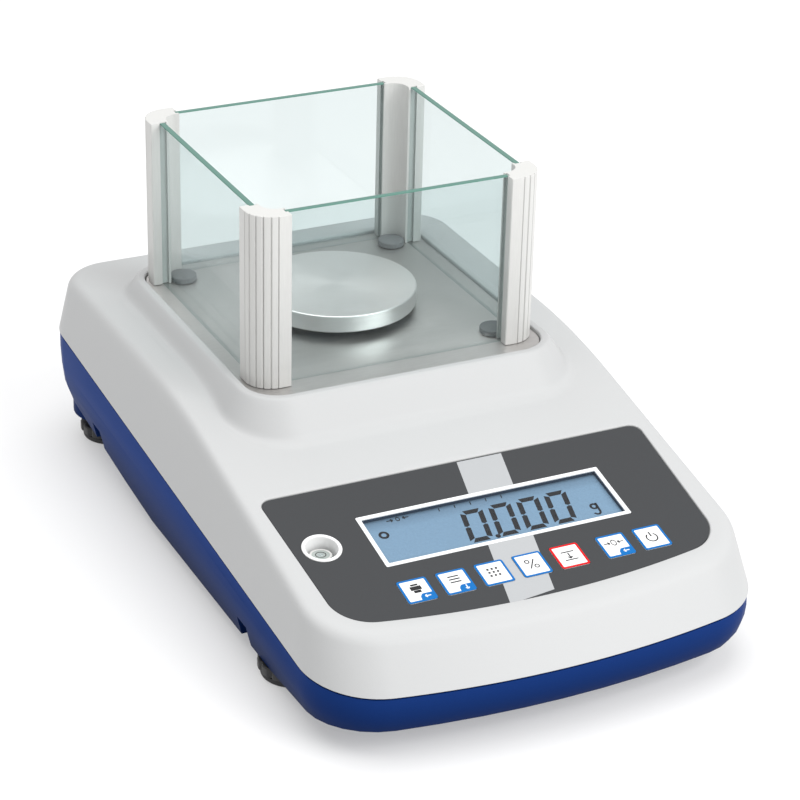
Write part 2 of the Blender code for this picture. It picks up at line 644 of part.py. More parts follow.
# ---------------------------------------------------------------- feet and screws
def make_feet_and_screws():
    points = 36
    for name, (x, y) in FOOT_PLACES.items():
        fluted = []
        for i in range(points):
            radius = FOOT_RADIUS if i % 2 else FOOT_RADIUS - 0.9
            angle = math.tau * i / points
            fluted.append((radius * math.cos(angle), radius * math.sin(angle)))
        edge = circle(FOOT_RADIUS - 1.4, points)
        stud = circle(4.0, points)
        loft(f"levelling_foot_{name}",
             [at_height(edge, PAD_TOP_Z + GAP), at_height(fluted, PAD_TOP_Z + 0.9),
              at_height(fluted, FOOT_TOP_Z - 0.8), at_height(edge, FOOT_TOP_Z),
              at_height(stud, FOOT_TOP_Z), at_height(stud, 27.5)], "black_plastic", (x, y, 0.0))
        loft(f"foot_pad_{name}", turned(((14.6, 0.0), (15.2, 0.6), (15.2, PAD_TOP_Z)), 24), "rubber_dark",
             (x, y, 0.0), smooth=True)
        tube = cylinder(INSERT_RADIUS, INSERT_LOW_Z, INSERT_HIGH_Z, 0.0, 0.0, 20)
        insert = loft(f"foot_insert_{name}", tube, "brass", (x, y, 0.0))
        drill = loft(f"insert_drill_{name}", cylinder(4.4, 5.0, 30.0, 0.0, 0.0, 20), place=(x, y, 0.0))
        boolean(insert, drill)
    for name, (x, y) in SCREW_PLACES.items():
        low = bottom_z(y)
        loft(f"case_screw_{name}",
             turned(((3.6, low + 0.6), (4.2, low + 1.2), (4.2, low + 3.3), (2.0, low + 3.3),
                     (2.0, low + SCREW_REACH)), 16), "steel", (x, y, 0.0), smooth=True)


def main():
    clear_scene()
    panel = bpy.data.objects.new("panel_frame", None)
    bpy.context.scene.collection.objects.link(panel)
    panel.location = Vector((0.0, PANEL_TOP_Y + DATUM_Y, PANEL_TOP_Z)) * MM
    panel.rotation_euler = (PANEL_TILT, 0.0, 0.0)
    make_base_tray()
    make_upper_housing(panel)
    make_control_panel(panel)
    make_level_vial(panel)
    make_weighing_works()
    make_electronics()
    make_draft_shield()
    make_feet_and_screws()


main()
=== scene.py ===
"""Looks for the laboratory balance: smooth case, glass draft shield, display, keys and studio."""
import json
import math

import bmesh
import bpy
from mathutils import Matrix, Quaternion, Vector


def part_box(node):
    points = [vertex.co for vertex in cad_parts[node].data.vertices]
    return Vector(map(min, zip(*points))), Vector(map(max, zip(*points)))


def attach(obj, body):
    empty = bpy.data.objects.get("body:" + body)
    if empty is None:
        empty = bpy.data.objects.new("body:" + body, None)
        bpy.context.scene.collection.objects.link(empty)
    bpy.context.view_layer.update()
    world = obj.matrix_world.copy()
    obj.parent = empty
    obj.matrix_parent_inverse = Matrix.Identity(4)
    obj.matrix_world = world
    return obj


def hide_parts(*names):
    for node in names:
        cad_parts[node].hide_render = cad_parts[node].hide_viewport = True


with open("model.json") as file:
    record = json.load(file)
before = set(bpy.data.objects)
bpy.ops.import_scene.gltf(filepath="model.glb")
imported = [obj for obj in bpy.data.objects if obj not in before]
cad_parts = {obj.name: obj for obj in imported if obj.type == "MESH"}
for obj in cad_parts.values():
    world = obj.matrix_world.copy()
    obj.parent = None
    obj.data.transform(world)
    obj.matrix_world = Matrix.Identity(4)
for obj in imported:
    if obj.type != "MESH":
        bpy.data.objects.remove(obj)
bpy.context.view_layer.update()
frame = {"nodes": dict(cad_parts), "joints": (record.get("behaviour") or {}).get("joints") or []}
MM = 0.001


def size_mm(node):
    """Lowest and highest corner of a CAD node, in millimetres."""
    low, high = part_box(node)
    return low / MM, high / MM


# ---- measures taken from the frame, in millimetres ----
HOUSING_LOW, HOUSING_HIGH = size_mm("upper_housing")
PLATE_LOW, PLATE_HIGH = size_mm("shield_plate")
PAN_LOW, PAN_HIGH = size_mm("weighing_pan")
PANE_LOW, PANE_HIGH = size_mm("glass_pane_right")
POST_LOW, POST_HIGH = size_mm("shield_post_front_right")
OVERLAY_HIGH = size_mm("panel_overlay")[1]
HALF_WIDTH = HOUSING_HIGH.x
FRONT_Y, BACK_Y = HOUSING_LOW.y, HOUSING_HIGH.y
PLATE_TOP_Z = PLATE_HIGH.z
PLATE_HALF = (PLATE_HIGH.x, (PLATE_HIGH.y - PLATE_LOW.y) / 2)
PLATE_Y = (PLATE_HIGH.y + PLATE_LOW.y) / 2
SHIELD_Y = (PAN_LOW.y + PAN_HIGH.y) / 2
press_axis = next(j["axis"] for j in frame["joints"] if j["name"] == "key_tare_press")
PANEL_TILT = math.asin(press_axis[1])

# ---- shape of the case ----
OVERLAY_RECESS = 0.55
PANEL_TOP_Y = OVERLAY_HIGH.y - OVERLAY_RECESS * math.sin(PANEL_TILT)
PANEL_TOP_Z = OVERLAY_HIGH.z + OVERLAY_RECESS * math.cos(PANEL_TILT)
PANEL = Matrix.Translation(Vector((0, PANEL_TOP_Y, PANEL_TOP_Z)) * MM) @ Matrix.Rotation(PANEL_TILT, 4, "X")
DECK_Z = 92.3
BREAK_REACH = 35.0
BREAK_Y = PANEL_TOP_Y + (DECK_Z - PANEL_TOP_Z) / math.tan(PANEL_TILT)
PARTING_Z_MIDDLE = 46.62
PARTING_SLOPE = 0.079
FRONT_BOW = 0.0011
WALL = 3.0
# half width, front and back ends, front and back corner radii
WALL_LINE = (HALF_WIDTH, FRONT_Y, BACK_Y, 36.0, 26.0)
CREST_LINE = (106.7, FRONT_Y + 14.5, BACK_Y - 11.0, 32.0, 24.0)
CREST_ROUND = 5.5
CREST_SHOULDER = 0.80
# the housing's lower edge starts this far over the parting line, chamfered by a share of the wall
EDGE_LOW, EDGE_HIGH = 0.35, 0.75
EDGE_CHAMFER = 0.12
WALL_STEPS, CREST_STEPS, DECK_STEPS, CEILING_STEPS = 5, 12, 40, 15
PLATE_CORNER_RADIUS = 16.0
PLATE_GAP = 0.3
COLLAR_TOP_Z = HOUSING_HIGH.z
COLLAR_BLEND = 3.2
COLLAR_FOOT = 15.0
COLLAR_DEPTH = 2.4
CEILING_DROP = 5.0

# ---- control panel: x and y on the sloping panel, heights up from the case beside it ----
PANEL_LENGTH = 95.2
HOLE_REACH = (-9.0, 2.0)
CUTTER_REACH = (-5.0, 5.0)
DISPLAY_CENTRE = (1.5, -40.3)
DISPLAY_SIZE = (123.0, 34.4)
FRAME_FOOT, FRAME_TOP = -1.3, -0.42
FRAME_WIDTH = 2.0
RECESS_FOOT, RECESS_TOP = -2.55, -1.0
FILM_FOOT, FILM_TOP = -8.3, -2.6
MARKS_FOOT, MARKS_TOP = -2.59, -2.55
DIGIT_PITCH = 14.25
SCALE_PITCH = 7.9
LEVEL_CENTRE = (-82.4, -37.4)
LEVEL_RADIUS = 8.6
KEY_SIZE = (14.0, 14.6)
KEY_ROW_Y = -75.5
KEY_PRINT_FOOT = -0.3

# ---- draft shield, feet and rear port ----
SLOT_MOUTH = 1.2
SLOT_CLEARANCE = 0.3
POST_RADIUS = 13.0
POST_LOBE = 7.2
FLUTES = 5
FLUTE_DEPTH = 0.85
FLUTED_FROM, FLUTED_TO = 4.0, 86.0
WHEEL_TOP_Z = 8.4
WHEEL_LOBES, WHEEL_POINTS = 14, 168
STUD_RADIUS = 4.0
PIN_PITCH = 2.7
NUT_REACH = 12.2
CORNERS = {"front_left": (-1, -1), "front_right": (1, -1), "back_left": (-1, 1), "back_right": (1, 1)}


# ---------------------------------------------------------------- materials
def material(name, colour, roughness, metallic=0.0, grain=0.0, grain_size=0.6, tint=0.03, stretch=(1, 1, 1),
             **more):
    """Principled surface whose colour, roughness and bump vary with fine procedural noise."""
    made = bpy.data.materials.new(name)
    made.use_nodes = True
    nodes, links = made.node_tree.nodes, made.node_tree.links
    shader = nodes["Principled BSDF"]
    shader.inputs["Metallic"].default_value = metallic
    for socket, value in more.items():
        shader.inputs[socket.replace("_", " ")].default_value = value
    place = nodes.new("ShaderNodeTexCoord")
    scaled = nodes.new("ShaderNodeMapping")
    scaled.inputs["Scale"].default_value = [s / (grain_size * MM) for s in stretch]
    links.new(place.outputs["Object"], scaled.inputs["Vector"])
    fine = nodes.new("ShaderNodeTexNoise")
    fine.inputs["Scale"].default_value = 1.0
    fine.inputs["Detail"].default_value = 3.0
    links.new(scaled.outputs["Vector"], fine.inputs["Vector"])
    ramp = nodes.new("ShaderNodeValToRGB")
    low = [c * (1 - tint) for c in colour]
    high = [min(1.0, c * (1 + tint)) for c in colour]
    ramp.color_ramp.elements[0].color = (*low, 1)
    ramp.color_ramp.elements[0].position = 0.3
    ramp.color_ramp.elements[1].color = (*high, 1)
    ramp.color_ramp.elements[1].position = 0.7
    links.new(fine.outputs["Fac"], ramp.inputs["Fac"])
    links.new(ramp.outputs["Color"], shader.inputs["Base Color"])
    worn = nodes.new("ShaderNodeMapRange")
    worn.inputs["To Min"].default_value = max(0.02, roughness - 0.04)
    worn.inputs["To Max"].default_value = roughness + 0.04
    links.new(fine.outputs["Fac"], worn.inputs["Value"])
    links.new(worn.outputs["Result"], shader.inputs["Roughness"])
    if grain:
        bump = nodes.new("ShaderNodeBump")
        bump.inputs["Strength"].default_value = grain
        bump.inputs["Distance"].default_value = 0.05 * MM
        links.new(fine.outputs["Fac"], bump.inputs["Height"])
        links.new(bump.outputs["Normal"], shader.inputs["Normal"])
    return made


def thin_glass(name, tint, gloss):
    """Clear pane: tinted see-through mixed with a sharp reflection that grows at flat angles."""
    made = bpy.data.materials.new(name)
    made.use_nodes = True
    nodes, links = made.node_tree.nodes, made.node_tree.links
    nodes.remove(nodes["Principled BSDF"])
    through = nodes.new("ShaderNodeBsdfTransparent")
    smear = nodes.new("ShaderNodeTexNoise")
    smear.inputs["Scale"].default_value = 14.0
    ramp = nodes.new("ShaderNodeValToRGB")
    ramp.color_ramp.elements[0].color = (*[c * 0.985 for c in tint], 1)
    ramp.color_ramp.elements[1].color = (*tint, 1)
    place = nodes.new("ShaderNodeTexCoord")
    links.new(place.outputs["Object"], smear.inputs["Vector"])
    links.new(smear.outputs["Fac"], ramp.inputs["Fac"])
    links.new(ramp.outputs["Color"], through.inputs["Color"])
    shine = nodes.new("ShaderNodeBsdfGlossy")
    shine.inputs["Roughness"].default_value = 0.02
    facing = nodes.new("ShaderNodeLayerWeight")
    rise = nodes.new("ShaderNodeMath")
    rise.operation = "POWER"
    rise.inputs[1].default_value = 4.0
    links.new(facing.outputs["Facing"], rise.inputs[0])
    share = nodes.new("ShaderNodeMapRange")
    share.inputs["To Min"].default_value = gloss
    share.inputs["To Max"].default_value = 0.45
    links.new(rise.outputs["Value"], share.inputs["Value"])
    mix = nodes.new("ShaderNodeMixShader")
    links.new(share.outputs["Result"], mix.inputs["Fac"])
    links.new(through.outputs["BSDF"], mix.inputs[1])
    links.new(shine.outputs["BSDF"], mix.inputs[2])
    links.new(mix.outputs["Shader"], nodes["Material Output"].inputs["Surface"])
    return made


FLAT = {"Specular_IOR_Level": 0.18}
HOUSING = material("housing_moulding", (0.475, 0.48, 0.482), 0.45, grain=0.35, grain_size=0.45, tint=0.012,
                   Specular_IOR_Level=0.35)
BLUE = material("base_moulding", (0.009, 0.040, 0.195), 0.42, grain=0.4, grain_size=0.5, tint=0.06,
                Specular_IOR_Level=0.02)
STEEL = material("brushed_plate", (0.60, 0.585, 0.575), 0.42, 0.9, 0.2, 0.35, 0.05, (0.05, 1, 1),
                 Anisotropic=0.5)
PAN_STEEL = material("brushed_pan", (0.90, 0.88, 0.87), 0.36, 0.86, 0.1, 0.3, 0.03, (0.05, 1, 1),
                     Anisotropic=0.4)
POST = material("post_extrusion", (0.59, 0.59, 0.575), 0.38, grain=0.25, grain_size=0.4, stretch=(1, 1, 0.04))
DISC = material("disc_rubber", (0.17, 0.18, 0.185), 0.62, grain=0.6, grain_size=0.35, tint=0.1)
PANEL_DARK = material("panel_foil", (0.056, 0.058, 0.061), 0.5, grain=0.3, grain_size=0.25, tint=0.05,
                      Specular_IOR_Level=0.04)
PRINT_WHITE = material("printed_white", (0.80, 0.81, 0.82), 0.45, grain=0.2, grain_size=0.3, tint=0.015,
                       **FLAT)
PRINT_BAND = material("printed_band", (0.40, 0.41, 0.42), 0.45, grain=0.2, grain_size=0.3, tint=0.015,
                      **FLAT)
PRINT_BLUE = material("printed_blue", (0.0, 0.13, 0.41), 0.42, grain=0.2, grain_size=0.3, **FLAT)
PRINT_RED = material("printed_red", (0.6, 0.004, 0.008), 0.42, grain=0.2, grain_size=0.3, **FLAT)
# black for print, and as painted shade in the nut holes of the rear port
PRINT_AND_SHADE_BLACK = material("print_and_painted_shade_black", (0.02, 0.02, 0.022), 0.5, grain=0.2, grain_size=0.3, tint=0.1, **FLAT)
KEY_WHITE = material("key_foil", (0.80, 0.80, 0.80), 0.40, grain=0.3, grain_size=0.3, tint=0.012)
BLACK = material("black_moulding", (0.018, 0.018, 0.019), 0.42, grain=0.6, grain_size=0.5, tint=0.15)
PAD = material("pad_rubber", (0.03, 0.03, 0.032), 0.75, grain=0.8, grain_size=0.4, tint=0.15)
BRASS = material("turned_brass", (0.62, 0.44, 0.18), 0.3, 1.0, 0.3, 0.3, 0.05, (1, 1, 0.1))
ALUMINIUM = material("milled_aluminium", (0.68, 0.68, 0.69), 0.36, 1.0, 0.3, 0.4, 0.04, (0.1, 1, 1))
BOARD = material("board_lacquer", (0.015, 0.12, 0.05), 0.4, grain=0.3, grain_size=0.8, tint=0.1)
# painted shade: dark blue-grey for the walls of the display recess, standing in for the shade inside it
RECESS_SHADE = material("recess_painted_shade", (0.035, 0.055, 0.085), 0.55, grain=0.2, grain_size=0.4, **FLAT)
VIAL = material("vial_plastic", (0.34, 0.38, 0.36), 0.18, grain=0.0, tint=0.02, Coat_Weight=0.6)
GLASS = thin_glass("pane_glass", (0.882, 0.918, 0.918), 0.02)
CLEAR = thin_glass("window_foil", (0.97, 0.98, 0.99), 0.01)
GLASS_EDGE = material("pane_edge", (0.075, 0.20, 0.16), 0.16, grain=0.0, tint=0.06, Coat_Weight=0.5)


def shaded_below(made, low_z, high_z, darkest):
    """Paints shade into a surface's colour: darker towards the ground, as a moulding looks under its own
    overhang.
    """
    nodes, links = made.node_tree.nodes, made.node_tree.links
    shader = nodes["Principled BSDF"]
    place = nodes.new("ShaderNodeTexCoord")
    split = nodes.new("ShaderNodeSeparateXYZ")
    links.new(place.outputs["Object"], split.inputs["Vector"])
    level = nodes.new("ShaderNodeMapRange")
    level.inputs["From Min"].default_value = low_z * MM
    level.inputs["From Max"].default_value = high_z * MM
    level.inputs["To Min"].default_value = darkest
    links.new(split.outputs["Z"], level.inputs["Value"])
    multiply_colour(made, shader, level.outputs["Result"])


def multiply_colour(made, shader, factor):
    """Puts a multiplying factor between a material's colour and its shader."""
    links = made.node_tree.links
    blend = made.node_tree.nodes.new("ShaderNodeMix")
    blend.data_type = "RGBA"
    blend.blend_type = "MULTIPLY"
    blend.inputs["Factor"].default_value = 1.0
    colour = next(l.from_socket for l in links if l.to_socket == shader.inputs["Base Color"])
    links.new(colour, blend.inputs["A"])
    links.new(factor, blend.inputs["B"])
    links.new(blend.outputs["Result"], shader.inputs["Base Color"])


# painted shade: the blue base darkens towards the ground
shaded_below(BLUE, 9.0, 42.0, 0.30)


def lcd_material():
    """Backlit display film: pale blue with faint mottling, and painted shade that darkens it under the upper
    edge of its frame.
    """
    made = material("lcd_film", (0.19, 0.295, 0.40), 0.32, grain=0.15, grain_size=1.2, tint=0.05, **FLAT)
    nodes, links = made.node_tree.nodes, made.node_tree.links
    shader = nodes["Principled BSDF"]
    place = nodes.new("ShaderNodeTexCoord")
    split = nodes.new("ShaderNodeSeparateXYZ")
    links.new(place.outputs["Generated"], split.inputs["Vector"])
    # painted shade: the film's colour is darkened towards its upper edge
    shade = nodes.new("ShaderNodeValToRGB")
    stops = shade.color_ramp.elements
    for position in (0.72, 0.90):
        stops.new(position)
    for stop, level in zip(stops, (1.0, 0.98, 0.72, 0.30)):
        stop.color = (level, level, level, 1)
    links.new(split.outputs["Y"], shade.inputs["Fac"])
    multiply_colour(made, shader, shade.outputs["Color"])
    return made


LCD = lcd_material()


# ---------------------------------------------------------------- mesh helpers
def add_piece(name, mesh, surface, body, nodes=(), sharp=35.0, place=None):
    """One finished piece that rides on a body; place is where its mesh is moved to first."""
    if place is not None:
        mesh.transform(place)
    mesh.materials.append(surface)
    if sharp:
        mesh.shade_smooth()
        mesh.set_sharp_from_angle(angle=math.radians(sharp))
    piece = bpy.data.objects.new(name, mesh)
    bpy.context.scene.collection.objects.link(piece)
    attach(piece, body)
    if nodes:
        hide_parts(*nodes)
    return piece


def mesh_of(bm, name):
    """Turns a bmesh in millimetres into a mesh in metres."""
    bmesh.ops.scale(bm, vec=(MM, MM, MM), verts=bm.verts)
    bmesh.ops.recalc_face_normals(bm, faces=bm.faces)
    mesh = bpy.data.meshes.new(name)
    bm.to_mesh(mesh)
    bm.free()
    return mesh


def loft(rings, name="loft", caps=True, wrap=False):
    """Mesh through closed rings of equal length; wrap joins the last ring to the first."""
    bm = bmesh.new()
    rows = [[bm.verts.new(point) for point in ring] for ring in rings]
    pairs = list(zip(rows, rows[1:]))
    if wrap:
        pairs.append((rows[-1], rows[0]))
    count = len(rows[0])
    for low, high in pairs:
        for i in range(count):
            j = (i + 1) % count
            bm.faces.new((low[i], low[j], high[j], high[i]))
    if caps and not wrap:
        bm.faces.new(rows[0][::-1])
        bm.faces.new(rows[-1])
    return mesh_of(bm, name)


def at_height(outline, z):
    return [(x, y, z) for x, y in outline]


def prism(line, heights, name="prism"):
    """Straight-sided solid on a flat outline, between two heights."""
    return loft([at_height(line, z) for z in heights], name)


def circle(radius, count=48, x=0.0, y=0.0):
    return [(x + radius * math.cos(math.tau * i / count), y + radius * math.sin(math.tau * i / count))
            for i in range(count)]


def turned(profile, count=64, x=0.0, y=0.0, name="turned"):
    """Round solid from pairs of radius and height."""
    return loft([at_height(circle(radius, count, x, y), z) for radius, z in profile], name)


def rounded_rectangle(width, depth, radius, steps=6, x=0.0, y=0.0):
    """Outline with four corner arcs."""
    points = []
    for quarter, (sx, sy) in enumerate(((1, 1), (-1, 1), (-1, -1), (1, -1))):
        cx = x + sx * (width / 2 - radius)
        cy = y + sy * (depth / 2 - radius)
        for i in range(steps + 1):
            angle = (quarter + i / steps) * math.pi / 2
            points.append((cx + radius * math.cos(angle), cy + radius * math.sin(angle)))
    return points


def rectangle(width, depth, x=0.0, y=0.0):
    return [(x - width / 2, y - depth / 2), (x + width / 2, y - depth / 2),
            (x + width / 2, y + depth / 2), (x - width / 2, y + depth / 2)]


def ring_plate(outer, inner, low, high, name="ring"):
    """Flat frame between two outlines of equal length."""
    rings = [at_height(outer, low), at_height(outer, high), at_height(inner, high), at_height(inner, low)]
    return loft(rings, name, wrap=True)


def flat_shapes(outlines, low, high, name="print"):
    """Thin prints: every outline becomes a low prism in one mesh."""
    bm = bmesh.new()
    for outline in outlines:
        bottom = [bm.verts.new((x, y, low)) for x, y in outline]
        top = [bm.verts.new((x, y, high)) for x, y in outline]
        count = len(outline)
        for i in range(count):
            j = (i + 1) % count
            bm.faces.new((bottom[i], bottom[j], top[j], top[i]))
        bm.faces.new(bottom[::-1])
        bm.faces.new(top)
    return mesh_of(bm, name)


def smoothed(node, surface, body, sharp=30.0, bevel=0.0, name=None):
    """A welded, smooth-shaded copy of a CAD node, with small rounded edges."""
    mesh = frame["nodes"][node].data.copy()
    mesh.transform(frame["nodes"][node].matrix_world)
    bm = bmesh.new()
    bm.from_mesh(mesh)
    bmesh.ops.remove_doubles(bm, verts=bm.verts, dist=0.000005)
    bmesh.ops.dissolve_limit(bm, angle_limit=math.radians(0.4), verts=bm.verts, edges=bm.edges)
    bm.to_mesh(mesh)
    bm.free()
    mesh.materials.clear()
    if "custom_normal" in mesh.attributes:
        mesh.attributes.remove(mesh.attributes["custom_normal"])
    piece = add_piece(name or f"{node}_finished", mesh, surface, body, (node,), sharp)
    if bevel:
        edge = piece.modifiers.new("edges", "BEVEL")
        edge.width = bevel * MM
        edge.segments = 2
        edge.limit_method = "ANGLE"
        edge.angle_limit = math.radians(40)
    return piece


def cut(piece, *meshes):
    """Takes the cutter meshes away from a piece and applies the result."""
    for mesh in meshes:
        cutter = bpy.data.objects.new("cutter", mesh)
        bpy.context.scene.collection.objects.link(cutter)
        step = piece.modifiers.new("cut", "BOOLEAN")
        step.operation = "DIFFERENCE"
        step.solver = "EXACT"
        step.object = cutter
        bpy.context.view_layer.update()
        graph = bpy.context.evaluated_depsgraph_get()
        result = bpy.data.meshes.new_from_object(piece.evaluated_get(graph))
        piece.modifiers.clear()
        piece.data = result
        bpy.data.objects.remove(cutter)
    piece.data.shade_smooth()
    piece.data.set_sharp_from_angle(angle=math.radians(32))


# ---------------------------------------------------------------- case
def parting_z(y):
    return PARTING_Z_MIDDLE + PARTING_SLOPE * y


def top_z(y):
    """Height of the top: the panel's slope, a long round bend, then the level deck."""
    start = BREAK_Y - BREAK_REACH
    run = min(max(y - start, 0.0), 2 * BREAK_REACH)
    slope = math.tan(PANEL_TILT)
    return PANEL_TOP_Z + slope * (min(y, start) - PANEL_TOP_Y) + slope * (run - run * run / (4 * BREAK_REACH))


def outline(half, front, back, front_radius, back_radius, bow=FRONT_BOW):
    """Closed outline with a bowed front, two corner radii and straight sides; always 212 points."""
    lean = math.atan(2 * bow * (half - front_radius))
    corner_x = half - front_radius + front_radius * math.sin(lean)
    right = []
    for i in range(24):
        x = corner_x * i / 24
        right.append((x, front + bow * x * x))
    centre_y = front + bow * corner_x ** 2 + front_radius * math.cos(lean)
    for i in range(19):
        angle = (lean - math.pi / 2) * (1 - i / 18)
        right.append((half - front_radius + front_radius * math.cos(angle),
                      centre_y + front_radius * math.sin(angle)))
    side_end = back - back_radius
    for i in range(1, 32):
        right.append((half, centre_y + (side_end - centre_y) * i / 32))
    for i in range(17):
        angle = math.pi / 2 * i / 16
        right.append((half - back_radius + back_radius * math.cos(angle),
                      side_end + back_radius * math.sin(angle)))
    for i in range(1, 17):
        right.append(((half - back_radius) * (1 - i / 16), back))
    left = [(-x, y) for x, y in right[-2:0:-1]]
    return right + left


def inset_outline(line, inset):
    """One of the named case lines, moved inward on all sides."""
    half, front, back, front_radius, back_radius = line
    return outline(half - inset, front + inset, back - inset, front_radius - inset, back_radius - inset)


def collar_outline(margin):
    """Outline of the steel plate, grown by a margin."""
    return outline(PLATE_HALF[0] + margin, PLATE_Y - PLATE_HALF[1] - margin, PLATE_Y + PLATE_HALF[1] + margin,
                   PLATE_CORNER_RADIUS + margin, PLATE_CORNER_RADIUS + margin, 0.0)


def smooth_max(a, b, reach):
    """The larger of two heights, with a round blend where they meet."""
    share = min(1.0, max(0.0, 0.5 + 0.5 * (a - b) / reach))
    return b + (a - b) * share + reach * share * (1 - share)


def collar_z(margin):
    """Rounded lip next to the plate, then a steep even slope."""
    inner_round = 0.9
    lip_end = 3.2
    if margin < inner_round:
        t = 1 - margin / inner_round
        return COLLAR_TOP_Z - inner_round * (1 - math.sqrt(max(0.0, 1 - t * t)))
    if margin < lip_end:
        return COLLAR_TOP_Z - 0.012 * (margin - inner_round) ** 2
    drop = margin - lip_end
    return COLLAR_TOP_Z - 0.06 - 1.5 * (math.sqrt(drop * drop + 1.4 * 1.4) - 1.4)


def lerp_ring(a, b, t):
    """Outline a share of the way from one outline to another."""
    return [(ax + (bx - ax) * t, ay + (by - ay) * t) for (ax, ay), (bx, by) in zip(a, b)]


def above_parting(line, height):
    return [(x, y, parting_z(y) + height) for x, y in line]


def on_top(line):
    return [(x, y, top_z(y)) for x, y in line]


def crest_rings(wall, crest, shelf):
    """Side of the case up to its shoulder, then a round crest over to the top."""
    starts = [Vector(point) for point in above_parting(wall, EDGE_HIGH)]
    corners = [Vector(point) for point in on_top(crest)]
    ends = [Vector(point) for point in on_top(shelf)]
    shoulders = [start.lerp(corner, CREST_SHOULDER) for start, corner in zip(starts, corners)]
    rings = []
    for i in range(1, WALL_STEPS):
        share = CREST_SHOULDER * i / WALL_STEPS
        rings.append([start.lerp(corner, share) for start, corner in zip(starts, corners)])
    for i in range(CREST_STEPS + 1):
        t = i / CREST_STEPS
        rings.append([shoulder.lerp(corner, t).lerp(corner.lerp(end, t), t)
                      for shoulder, corner, end in zip(shoulders, corners, ends)])
    return rings


def collar_rings():
    """Raised collar from its foot in to the plate, with closer rings towards the round lip."""
    margins = [COLLAR_FOOT - 0.5 * i for i in range(24)]
    margins += [3.0, 2.6, 2.0, 1.4, 0.9, 0.7, 0.5, 0.35, 0.2, 0.08, 0.0]
    rings = []
    for margin in margins:
        blend = COLLAR_BLEND if margin > 4 else 0.01
        rings.append([(x, y, smooth_max(collar_z(margin), top_z(y), blend))
                      for x, y in collar_outline(margin + PLATE_GAP)])
    return rings


def make_housing():
    """Smooth shell: up the side, over the crest and the collar, and back along the inside."""
    wall = inset_outline(WALL_LINE, 0.0)
    inner_wall = inset_outline(WALL_LINE, WALL)
    shelf = inset_outline(CREST_LINE, CREST_ROUND)
    foot = collar_outline(COLLAR_FOOT)
    hole = collar_outline(PLATE_GAP)
    edge = lerp_ring(wall, inner_wall, EDGE_CHAMFER)
    rings = [above_parting(edge, EDGE_LOW), above_parting(wall, EDGE_HIGH)]
    rings += crest_rings(wall, inset_outline(CREST_LINE, 0.0), shelf)
    rings += [on_top(lerp_ring(shelf, foot, i / DECK_STEPS)) for i in range(1, DECK_STEPS)]
    rings += collar_rings()
    rings.append(at_height(hole, PLATE_TOP_Z - COLLAR_DEPTH))
    for i in range(1, CEILING_STEPS):
        rings.append([(x, y, min(top_z(y) - WALL, PLATE_TOP_Z - CEILING_DROP))
                      for x, y in lerp_ring(hole, shelf, i / CEILING_STEPS)])
    rings.append(above_parting(inner_wall, EDGE_LOW))
    housing = add_piece("housing_shell", loft(rings, "housing_shell", wrap=True), HOUSING, "case",
                        ("upper_housing",), 32)
    lip = [(0.0, -1.7), (0.0, -0.5), (0.12, -0.25), (0.35, -0.08), (0.8, 0.02), (0.8, 5.0)]
    pocket = loft([at_height(overlay_outline(0.3 + grow), z) for grow, z in lip], "pocket")
    width, depth = (side - 2 * FRAME_WIDTH for side in DISPLAY_SIZE)
    window = prism(rectangle(width, depth, *DISPLAY_CENTRE), HOLE_REACH, "window")
    level = prism(circle(LEVEL_RADIUS + 0.3, 64, *LEVEL_CENTRE), HOLE_REACH, "level")
    for cutter in (pocket, window, level):
        cutter.transform(PANEL)
    cut(housing, pocket, window, level)


def overlay_outline(grow):
    """Outline of the panel foil: straight top, slightly tapering sides and a bowed foot."""
    half_top, half_foot = 97.0 + grow, 94.2 + grow
    top, foot = grow, -PANEL_LENGTH - grow
    top_radius, foot_radius = 5.5, 17.0
    foot_x = half_foot - foot_radius
    right = [(foot_x * i / 16, foot + FRONT_BOW * (foot_x * i / 16) ** 2) for i in range(17)]
    lean = math.atan(2 * FRONT_BOW * foot_x)
    centre = (foot_x - foot_radius * math.sin(lean), right[-1][1] + foot_radius * math.cos(lean))
    for i in range(1, 17):
        angle = (lean - math.pi / 2) * (1 - i / 16)
        right.append((centre[0] + foot_radius * math.cos(angle) + 2.8 * i / 16,
                      centre[1] + foot_radius * math.sin(angle)))
    for i in range(9):
        angle = math.pi / 2 * i / 8
        right.append((half_top - top_radius + top_radius * math.cos(angle),
                      top - top_radius + top_radius * math.sin(angle)))
    left = [(-x, y) for x, y in right[-1:0:-1]]
    return right + left


# ---------------------------------------------------------------- control panel
def key_centre(name):
    """Middle of a key on the panel; the keys stand in one row."""
    low, high = size_mm(f"key_{name}")
    return (low.x + high.x) / 2, KEY_ROW_Y


def slanted(points, x, y, slant=0.2):
    """Points moved to a place and leaned to the right."""
    return [(x + px + slant * py, y + py) for px, py in points]


def bar(x0, y0, x1, y1, width):
    """Straight stroke from one point to another."""
    side = Vector((y0 - y1, x1 - x0)).normalized() * width / 2
    return [(x0 + side.x, y0 + side.y), (x0 - side.x, y0 - side.y), (x1 - side.x, y1 - side.y),
            (x1 + side.x, y1 + side.y)]


def arc_band(x, y, radius, width, start=0.0, end=360.0, steps=28, stretch=1.0):
    """Part of a ring as small four-sided pieces."""
    shapes = []
    for i in range(steps):
        a, b = (math.radians(start + (end - start) * (i + j) / steps) for j in (0, 1))
        shapes.append([(x + (radius + w) * math.cos(t) * stretch, y + (radius + w) * math.sin(t))
                       for t, w in ((a, -width / 2), (a, width / 2), (b, width / 2), (b, -width / 2))])
    return shapes


